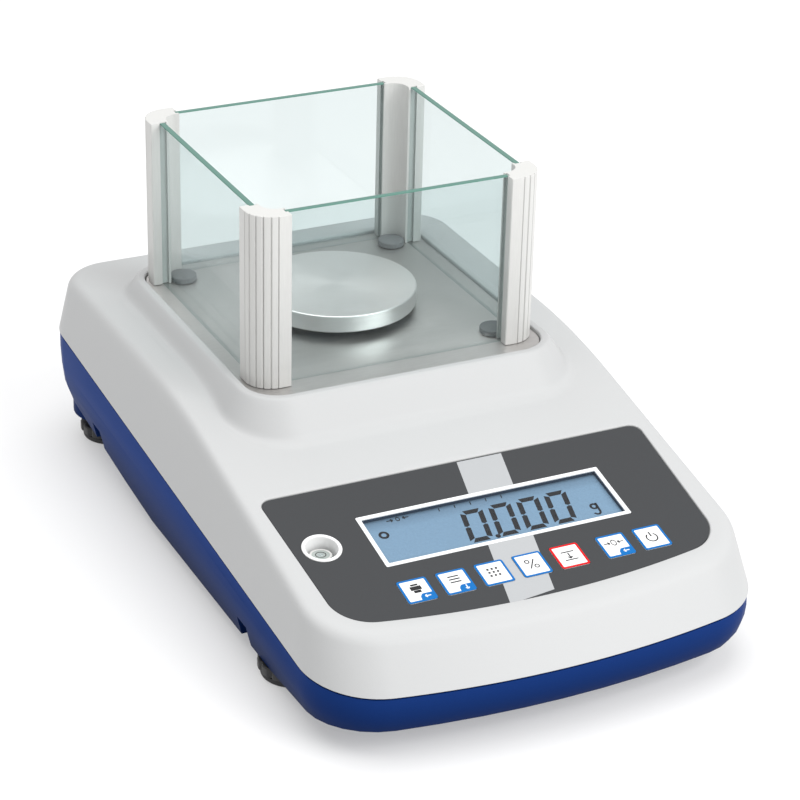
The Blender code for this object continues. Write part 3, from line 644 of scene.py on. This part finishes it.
def arrow(x, y, direction, length, width):
    """Arrow with an open head, pointing left, right, up or down."""
    turn = {"right": 0, "up": 90, "left": 180, "down": 270}[direction]
    tip, barb_x, barb_y = length / 2, length / 2 - length * 0.32, length * 0.3
    shapes = [bar(-tip, 0, tip, 0, width), bar(tip, 0, barb_x, barb_y, width),
              bar(tip, 0, barb_x, -barb_y, width)]
    c, s = math.cos(math.radians(turn)), math.sin(math.radians(turn))
    return [[(x + c * px - s * py, y + s * px + c * py) for px, py in shape] for shape in shapes]


def digit_zero(x, y):
    """Seven-segment nought, slanted, with mitred gaps between its six bars."""
    w, h, t, gap = 11.3, 21.2, 2.6, 0.16
    half = h / 2
    shapes = [[(t * 0.5 + gap, h), (w - t * 0.5 - gap, h), (w - t - gap, h - t), (t + gap, h - t)],
              [(t * 0.5 + gap, 0), (w - t * 0.5 - gap, 0), (w - t - gap, t), (t + gap, t)]]
    for side in (0, 1):
        for base, sign in ((0, 1), (h, -1)):
            column = [(0, base + sign * (t * 0.5 + gap)), (t, base + sign * (t + gap)),
                      (t, half - sign * (gap + 0.7)), (t * 0.5, half - sign * gap),
                      (0, half - sign * (gap + 0.5))]
            shapes.append([(w - px if side else px, py) for px, py in column])
    return [slanted(shape, x, y) for shape in shapes]


def readout_shapes():
    """What the display shows: four noughts with a point, a unit, a ring, a scale and a zero sign."""
    shapes = []
    for i in range(4):
        shapes += digit_zero(-15.9 + DIGIT_PITCH * i, -52.3)
    shapes.append(circle(1.25, 16, -1.9, -51.4))
    shapes += arc_band(-51.1, -35.4, 1.85, 1.25)
    shapes += unit_g()
    for i in range(5):
        shapes.append(slanted(bar(0, 0, 0, 2.1, 0.5), -20.0 + SCALE_PITCH * i, -27.9))
    shapes += arrow(-44.6, -27.2, "right", 3.0, 0.6) + arrow(-36.6, -27.0, "left", 3.0, 0.6)
    shapes += arc_band(-40.6, -27.1, 1.15, 0.55, stretch=0.75)
    return shapes


def unit_g():
    """The unit: a bowl, a stem and a hook."""
    return (arc_band(49.9, -46.0, 1.5, 1.15) + [bar(51.6, -44.0, 51.2, -50.2, 1.1)]
            + arc_band(49.6, -50.0, 1.5, 1.0, 190, 350, 12))


def make_readout():
    """Display: white printed frame, dark-coloured recess walls as painted shade, pale blue film, black marks
    and a clear foil.
    """
    x, y = DISPLAY_CENTRE
    width, depth = DISPLAY_SIZE
    opening = 2 * FRAME_WIDTH
    outer = rounded_rectangle(width, depth, 0.6, 3, x, y)
    inner = rounded_rectangle(width - opening, depth - opening, 0.5, 3, x, y)
    recess = rounded_rectangle(width - opening - 0.5, depth - opening - 0.5, 0.5, 3, x, y)
    add_piece("display_frame", ring_plate(outer, inner, FRAME_FOOT, FRAME_TOP, "display_frame"), PRINT_WHITE,
              "case", ("display_window",), 30, PANEL)
    # painted shade: the recess walls are coloured dark
    add_piece("display_recess", ring_plate(inner, recess, RECESS_FOOT, RECESS_TOP, "display_recess"), RECESS_SHADE,
              "case", (), 30, PANEL)
    film = prism(rectangle(width - 1.2, depth - 1.2, x, y), (FILM_FOOT, FILM_TOP), "lcd_film")
    screen = add_piece("lcd_screen", film, LCD, "case", ("lcd_module",), 30)
    screen.matrix_world = PANEL
    foil = prism(rectangle(width - opening - 0.2, depth - opening - 0.2, x, y), (RECESS_TOP, -0.8), "foil")
    add_piece("display_foil", foil, CLEAR, "case", (), 30, PANEL)
    marks = flat_shapes(readout_shapes(), MARKS_FOOT, MARKS_TOP, "readout_marks")
    add_piece("readout_marks", marks, PRINT_AND_SHADE_BLACK, "case", (), 0, PANEL)


def make_overlay():
    """Dark foil with a plain pale band, both cut out round the display, the level and the keys."""
    edge = ((0, -1.3), (0, -0.62), (-0.12, -0.5))
    foil = loft([at_height(overlay_outline(grow), z) for grow, z in edge], "panel_foil")
    overlay = add_piece("panel_foil", foil, PANEL_DARK, "case", ("panel_overlay",), 30, PANEL)
    width, depth = (side + 0.2 for side in DISPLAY_SIZE)
    holes = [prism(rectangle(width, depth, *DISPLAY_CENTRE), CUTTER_REACH),
             prism(circle(LEVEL_RADIUS + 0.15, 64, *LEVEL_CENTRE), CUTTER_REACH)]
    for name in KEYS:
        x, y = key_centre(name)
        line = rounded_rectangle(KEY_SIZE[0] + 0.4, KEY_SIZE[1] + 0.4, 1.4, 5, x, y)
        holes.append(prism(line, CUTTER_REACH))
    for hole in holes:
        hole.transform(PANEL)
    stripe = [(-18.5, -96.0), (4.5, -93.2), (24.5, -0.7), (1.5, -0.7)]
    band = add_piece("panel_band", flat_shapes([stripe], -0.52, -0.44, "panel_band"), PRINT_BAND, "case", (),
                     0, PANEL)
    cut(overlay, *[hole.copy() for hole in holes])
    cut(band, *holes)


def printer_sign():
    return [rectangle(5.2, 2.4, 0, 0.6), rectangle(3.4, 1.0, 0, 2.7), rectangle(3.4, 1.6, 0, -1.6)]


def menu_sign():
    return [rectangle(5.2, 0.7, 0, y) for y in (2.6, 0.8, -1.0)]


def pieces_sign():
    return [circle(0.62, 14, x, y) for x in (-2.1, 0, 2.1) for y in (-1.6, 0.5, 2.6)]


def percent_sign():
    return arc_band(-1.7, 2.0, 1.0, 0.5) + arc_band(1.7, -1.6, 1.0, 0.5) + [bar(-1.7, -2.6, 1.9, 3.0, 0.55)]


def tare_sign():
    return [rectangle(6.4, 0.6, 0, 2.6), rectangle(6.4, 0.6, 0, -2.6)] + arrow(0, 0.1, "down", 3.6, 0.6)


def zero_sign():
    return (arrow(-3.4, 1.0, "right", 2.8, 0.5) + arrow(3.4, 1.0, "left", 2.8, 0.5)
            + arc_band(0, 1.0, 1.75, 0.55, stretch=0.66))


def power_sign():
    return arc_band(0, -0.2, 2.6, 0.65, 125, 415, 26) + [rectangle(0.7, 3.0, 0, 2.0)]


KEYS = {"print": (printer_sign, PRINT_BLUE, "left"), "mode": (menu_sign, PRINT_BLUE, "down"),
        "count": (pieces_sign, PRINT_BLUE, None), "percent": (percent_sign, PRINT_BLUE, None),
        "tare": (tare_sign, PRINT_RED, None), "zero": (zero_sign, PRINT_BLUE, "left"),
        "power": (power_sign, PRINT_BLUE, None)}


def make_keys():
    """Each key: a white cap with a coloured border and a sign, and for some a corner tab with an arrow."""
    width, depth = KEY_SIZE
    outer = rounded_rectangle(width + 0.02, depth + 0.02, 1.2)
    inner = rounded_rectangle(width - 2.0, depth - 2.0, 0.5)
    edge = ((0.0, -1.1), (0.0, -0.42), (-0.12, -0.30), (-0.35, -0.25))
    corner = [(-0.4, -6.6), (6.4, -6.6), (6.4, -2.6), (1.6, -2.6), (0.9, -2.9), (-0.2, -4.4)]
    for name, (sign, border, tab) in KEYS.items():
        body = f"key_{name}"
        spot = PANEL @ Matrix.Translation(Vector((*key_centre(name), 0)) * MM)
        cap = loft([at_height(rounded_rectangle(width + 2 * grow, depth + 2 * grow, 1.2 + grow), z)
                    for grow, z in edge], f"{name}_cap")
        add_piece(f"key_cap_{name}", cap, KEY_WHITE, body, (body,), 30, spot)
        ring = ring_plate(outer, inner, -0.45, -0.22)
        add_piece(f"key_border_{name}", ring, border, body, (), 30, spot)
        lift = 0.8 if tab else 0.0
        lifted = [[(x, y + lift) for x, y in shape] for shape in sign()]
        prints = [("sign", lifted, -0.21, PRINT_AND_SHADE_BLACK)]
        if tab:
            prints.append(("tab", [corner], -0.215, PRINT_BLUE))
            prints.append(("tab_arrow", arrow(3.3, -4.5, tab, 2.8, 0.5), -0.205, PRINT_WHITE))
        for part, shapes, top, surface in prints:
            mesh = flat_shapes(shapes, KEY_PRINT_FOOT, top)
            add_piece(f"key_{part}_{name}", mesh, surface, body, (), 0, spot)


def make_level():
    """Round level: a pale cup, a vial that stands upright in it, two printed rings and the bubble."""
    x, y = LEVEL_CENTRE
    r = LEVEL_RADIUS
    cup = ((0.5, -9.6), (r - 1.9, -9.6), (r - 1.4, -9.2), (r - 1.25, -0.5), (r - 1.1, -0.1), (r - 0.7, 0.1),
           (r + 0.25, 0.02), (r + 0.45, -0.2), (r + 0.45, -0.48), (r, -0.48), (r, -11.4), (0.5, -11.4))
    spot = PANEL @ Matrix.Translation(Vector((x, y, 0)) * MM)
    add_piece("level_cup_ring", turned(cup, 96), KEY_WHITE, "case", ("level_cup",), 35, spot)
    centre = (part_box("level_vial")[0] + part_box("level_vial")[1]) / 2
    upright = Matrix.Translation(centre)
    vial = ((0.1, -2.0), (4.9, -2.0), (5.2, -1.7), (5.2, 1.5), (4.9, 1.8), (4.4, 1.95), (0.1, 1.95))
    add_piece("level_vial_body", turned(vial, 64), VIAL, "case", ("level_vial",), 35, upright)
    ring = ring_plate(circle(2.5, 48), circle(2.1, 48), 1.94, 2.0)
    add_piece("level_vial_ring", ring, PRINT_AND_SHADE_BLACK, "case", (), 30, upright)
    rim = ring_plate(circle(5.0, 64), circle(4.1, 64), 1.9, 2.0)
    add_piece("level_vial_rim", rim, POST, "case", (), 30, upright)
    bubble = turned(((0.05, 2.0), (0.9, 2.03), (1.4, 2.12), (1.3, 2.25), (0.8, 2.36), (0.05, 2.4)), 32)
    add_piece("level_bubble", bubble, CLEAR, "case", (), 60, upright)


# ---------------------------------------------------------------- draft shield and pan
def flute(degrees):
    """How deep the corner's surface is cut at an angle round it."""
    if not FLUTED_FROM < degrees < FLUTED_TO:
        return 0.0
    wave = abs(math.sin(math.pi * (FLUTES * (degrees - FLUTED_FROM) / (FLUTED_TO - FLUTED_FROM))))
    return FLUTE_DEPTH * (1 - min(1.0, wave * 2.6))


def post_profile(sx, sy):
    """L-shaped section: plain arms, fluted corner, a slot for each pane and a round inner corner."""
    reach, end = POST_HIGH.x, POST_LOW.x
    centre = reach - POST_RADIUS
    outer = [(end, reach - 0.4), (end + 0.4, reach), (centre, reach)]
    steps = 100
    for i in range(steps + 1):
        degrees = 90 - 90 * i / steps
        radius = POST_RADIUS - flute(degrees)
        outer.append((centre + radius * math.cos(math.radians(degrees)),
                      centre + radius * math.sin(math.radians(degrees))))
    outer += [(reach, end + 0.4), (reach - 0.4, end)]
    slot_out, slot_in = PANE_HIGH.x + SLOT_CLEARANCE, PANE_LOW.x - SLOT_CLEARANCE
    bottom = end + SLOT_MOUTH
    lobe_centre = end + 2.0
    arm = [(slot_out, end), (slot_out, bottom), (slot_in, bottom), (slot_in, end),
           (lobe_centre + POST_LOBE, end)]
    hollow = []
    for i in range(17):
        angle = math.pi / 2 * i / 16
        hollow.append((lobe_centre + POST_LOBE * math.cos(angle), lobe_centre + POST_LOBE * math.sin(angle)))
    points = outer + arm + hollow + [(b, a) for a, b in reversed(arm)]
    return [(sx * x, SHIELD_Y + sy * y) for x, y in points]


def make_post(name, sx, sy):
    """Corner post with a slightly drawn-in edge at both ends."""
    low, high = size_mm(f"shield_post_{name}")
    section = post_profile(sx, sy)
    x0, y0 = sx * 66.0, SHIELD_Y + sy * 66.0
    inset = [(x0 + (x - x0) * 0.985, y0 + (y - y0) * 0.985) for x, y in section]
    rings = [at_height(inset, low.z), at_height(section, low.z + 0.3), at_height(section, high.z - 0.3),
             at_height(inset, high.z)]
    add_piece(f"post_{name}", loft(rings, f"post_{name}"), POST, "draft_shield", (f"shield_post_{name}",),
              28)


def make_pane(side):
    """Clear pane that ends in the mouths of the slots, with a green upper edge."""
    low, high = size_mm(f"glass_pane_{side}")
    middle, extent = (low + high) / 2, high - low
    along = 0 if extent.x > extent.y else 1
    extent[along] = 2 * (POST_LOW.x + SLOT_MOUTH - SLOT_CLEARANCE)
    bm = bmesh.new()
    bmesh.ops.create_cube(bm, size=1.0)
    for vertex in bm.verts:
        vertex.co = middle + Vector([a * b for a, b in zip(vertex.co, extent)])
    bmesh.ops.bevel(bm, geom=list(bm.edges), offset=0.35, segments=1, profile=0.5, affect="EDGES")
    mesh = mesh_of(bm, f"pane_{side}")
    add_piece(f"pane_{side}", mesh, GLASS, "draft_shield", (f"glass_pane_{side}",), 0)
    mesh.materials.append(GLASS_EDGE)
    for face in mesh.polygons:
        face.material_index = 1 if face.normal.z > 0.5 else 0


def make_draft_shield():
    for name, (sx, sy) in CORNERS.items():
        make_post(name, sx, sy)
    for side in ("front", "back", "left", "right"):
        make_pane(side)


def make_pan():
    """Dish with a rounded edge, a turned-down rim and a boss underneath."""
    radius = (PAN_HIGH.x - PAN_LOW.x) / 2
    top, bottom = PAN_HIGH.z, PAN_LOW.z
    fillet = 0.7
    profile = [(0.2, top)]
    for i in range(9):
        angle = math.pi / 2 * (1 - i / 8)
        profile.append((radius - fillet + fillet * math.cos(angle), top - fillet + fillet * math.sin(angle)))
    profile += [(radius, bottom + 0.5), (radius - 0.4, bottom), (radius - 1.2, bottom),
                (radius - 1.4, bottom + 0.6), (radius - 1.4, top - 1.8), (6.0, top - 1.8), (6.0, top - 5.0),
                (0.2, top - 5.0)]
    dish = turned(profile, 128, 0, SHIELD_Y, "pan")
    add_piece("pan_dish", dish, PAN_STEEL, "pan", ("weighing_pan",), 32)


def make_plate_and_discs():
    smoothed("shield_plate", STEEL, "case", 30, 0.3, "steel_plate")
    for name in CORNERS:
        low, high = size_mm(f"locating_disc_{name}")
        x, y, r = (low.x + high.x) / 2, (low.y + high.y) / 2, (high.x - low.x) / 2
        steps = ((0.1, low.z), (r - 0.3, low.z), (r, low.z + 0.25), (r, high.z - 0.7),
                 (r - 0.25, high.z - 0.3), (r - 0.8, high.z - 0.15), (r - 1.3, high.z), (0.1, high.z))
        add_piece(f"disc_{name}", turned(steps, 64, x, y), DISC, "case", (f"locating_disc_{name}",),
                  30)


# ---------------------------------------------------------------- feet, base and fittings
def fluted(x, y, radius, depth):
    """Circle with one shallow hollow for each lobe of the thumb wheel."""
    points = []
    for i in range(WHEEL_POINTS):
        angle = math.tau * i / WHEEL_POINTS
        reach = radius - depth * max(0.0, math.cos(WHEEL_LOBES * angle)) ** 2
        points.append((x + reach * math.cos(angle), y + reach * math.sin(angle)))
    return points


def make_feet():
    """Thumb wheel and stud in one, and the rubber pad under it."""
    for name in CORNERS:
        low, high = size_mm(f"levelling_foot_{name}")
        x, y, r = (low.x + high.x) / 2, (low.y + high.y) / 2, (high.x - low.x) / 2
        wheel = ((r - 1.2, 0.6, low.z), (r - 0.2, 1.1, low.z + 0.6), (r, 1.2, low.z + 1.0),
                 (r, 1.2, WHEEL_TOP_Z - 0.7), (r - 0.6, 0.9, WHEEL_TOP_Z - 0.1), (r - 1.4, 0.4, WHEEL_TOP_Z),
                 (STUD_RADIUS, 0.0, WHEEL_TOP_Z + 0.01), (STUD_RADIUS, 0.0, high.z))
        rings = [at_height(fluted(x, y, radius, depth), z) for radius, depth, z in wheel]
        add_piece(f"foot_wheel_{name}", loft(rings), BLACK, f"foot_{name}", (f"levelling_foot_{name}",),
                  30)
        low, high = size_mm(f"foot_pad_{name}")
        r = (high.x - low.x) / 2
        steps = ((0.2, low.z), (r - 1.0, low.z), (r - 0.2, low.z + 0.4), (r, low.z + 0.9), (r, high.z),
                 (0.2, high.z))
        add_piece(f"foot_sole_{name}", turned(steps, 72, x, y), PAD, f"pad_{name}", (f"foot_pad_{name}",),
                  30)


def make_base_and_fittings():
    """Smooth base tray, and surfaces for the CAD nodes that show as they are."""
    smoothed("base_tray", BLUE, "case", 24, 0.0, "base_shell")
    plain = {"pan_carrier": ALUMINIUM, "load_cell": ALUMINIUM, "load_cell_mount": ALUMINIUM,
             "overload_stop": BRASS, "main_board": BOARD, "keypad_board": BOARD, "dc_inlet": BLACK,
             "hook_plug": BLACK}
    for name in CORNERS:
        plain[f"foot_insert_{name}"] = BRASS
        plain[f"case_screw_{name}"] = STEEL
    for node, surface in plain.items():
        surfaces = frame["nodes"][node].data.materials
        surfaces.clear()
        surfaces.append(surface)


def port_outline(inset):
    """Port shell seen from behind: wider below than above."""
    low_x, high_x, half_z = 8.6 - inset, 7.0 - inset, 4.4 - inset
    return [(-low_x, -half_z), (low_x, -half_z), (high_x, half_z), (-high_x, half_z)]


def make_rear_port():
    """Nine-pin port: flange, metal shell, black insulator, pins and hexagonal nuts."""
    low, high = size_mm("serial_port")
    width, height, depth = high.x - low.x, high.z - low.z, high.y - low.y
    middle = Vector(((low.x + high.x) / 2, high.y, (low.z + high.z) / 2))
    outward = Matrix.Translation(middle * MM) @ Matrix.Rotation(-math.pi / 2, 4, "X")
    face = -3.4
    wall = 0.55
    flange = prism(rounded_rectangle(width, height, 1.2), (-depth, face))
    add_piece("port_flange", flange, STEEL, "case", ("serial_port",), 30, outward)
    shell = ring_plate(port_outline(0.0), port_outline(wall), face, 0.0)
    add_piece("port_shell", shell, STEEL, "case", (), 30, outward)
    pins = [circle(0.55, 14, PIN_PITCH * (i - 2), -1.4) for i in range(5)]
    pins += [circle(0.55, 14, PIN_PITCH * (i - 1.5), 1.4) for i in range(4)]
    nuts = [circle(2.5, 6, side * NUT_REACH) for side in (-1, 1)]
    # painted shade: a black disc on each nut stands in for the dark of its threaded hole
    holes = [circle(1.2, 24, side * NUT_REACH) for side in (-1, 1)]
    for name, shapes, foot, top, surface in (("port_insulator", [port_outline(wall)], face, -0.7, BLACK),
                                             ("port_pins", pins, -0.8, -0.5, BRASS),
                                             ("port_nuts", nuts, face, -1.0, ALUMINIUM),
                                             ("port_nut_hole_shade", holes, -1.3, -0.97, PRINT_AND_SHADE_BLACK)):
        add_piece(name, flat_shapes(shapes, foot, top), surface, "case", (), 0, outward)


# ---------------------------------------------------------------- studio
VIEW_AZIMUTH, VIEW_ELEVATION, VIEW_ROLL = -26.25, 26.69, 1.44
VIEW_CENTRE = (0.0015, -0.0091, 0.0793)
VIEW_DISTANCE = 1.267
VIEW_LENS = 119.39
FLOOR_REACH = 6.0


def make_camera():
    """Long lens that looks down at the front and its left side."""
    scene = bpy.context.scene
    azimuth, elevation = math.radians(VIEW_AZIMUTH), math.radians(VIEW_ELEVATION)
    back = Vector((math.sin(azimuth) * math.cos(elevation), -math.cos(azimuth) * math.cos(elevation),
                   math.sin(elevation)))
    roll = Quaternion((0, 0, 1), math.radians(VIEW_ROLL))
    camera = bpy.data.objects.new("camera", bpy.data.cameras.new("camera"))
    scene.collection.objects.link(camera)
    camera.location = Vector(VIEW_CENTRE) + back * VIEW_DISTANCE
    camera.rotation_mode = "QUATERNION"
    camera.rotation_quaternion = (-back).to_track_quat("-Z", "Y") @ roll
    camera.data.lens = VIEW_LENS
    camera.data.sensor_width = 36
    scene.camera = camera


def make_floor():
    mesh = bpy.data.meshes.new("floor")
    corners = [(x * FLOOR_REACH, y * FLOOR_REACH, 0) for x, y in ((-1, -1), (1, -1), (1, 1), (-1, 1))]
    mesh.from_pydata(corners, [], [(0, 1, 2, 3)])
    mesh.materials.append(material("floor_paper", (0.56, 0.56, 0.56), 0.9, tint=0.004, grain_size=4,
                                   Emission_Color=(1, 1, 1, 1), Emission_Strength=0.34))
    floor = bpy.data.objects.new("floor", mesh)
    bpy.context.scene.collection.objects.link(floor)


def make_lamp(name, place, aim, size, power):
    """Soft rectangular lamp that faces a point."""
    light = bpy.data.lights.new(name, "AREA")
    light.shape = "RECTANGLE"
    light.size, light.size_y = size
    light.energy = power
    holder = bpy.data.objects.new(name, light)
    holder.location = place
    holder.rotation_euler = (Vector(aim) - Vector(place)).to_track_quat("-Z", "Y").to_euler()
    bpy.context.scene.collection.objects.link(holder)


def make_studio():
    """Camera, pale floor, even white surroundings and two soft lamps."""
    scene = bpy.context.scene
    scene.view_settings.view_transform = "Standard"
    make_camera()
    make_floor()
    world = bpy.data.worlds.new("studio")
    scene.world = world
    world.use_nodes = True
    sky = world.node_tree.nodes["Background"]
    sky.inputs["Color"].default_value = (1.0, 1.0, 1.0, 1)
    sky.inputs["Strength"].default_value = 0.58
    make_lamp("key_light", (0.9, -1.5, 1.25), (0, 0, 0.05), (1.5, 1.5), 34)
    make_lamp("top_light", (-0.2, 0.2, 1.8), (0, 0, 0.05), (2.0, 1.8), 27)


make_housing()
make_overlay()
make_readout()
make_keys()
make_level()
make_draft_shield()
make_pan()
make_plate_and_discs()
make_feet()
make_base_and_fittings()
make_rear_port()
make_studio()
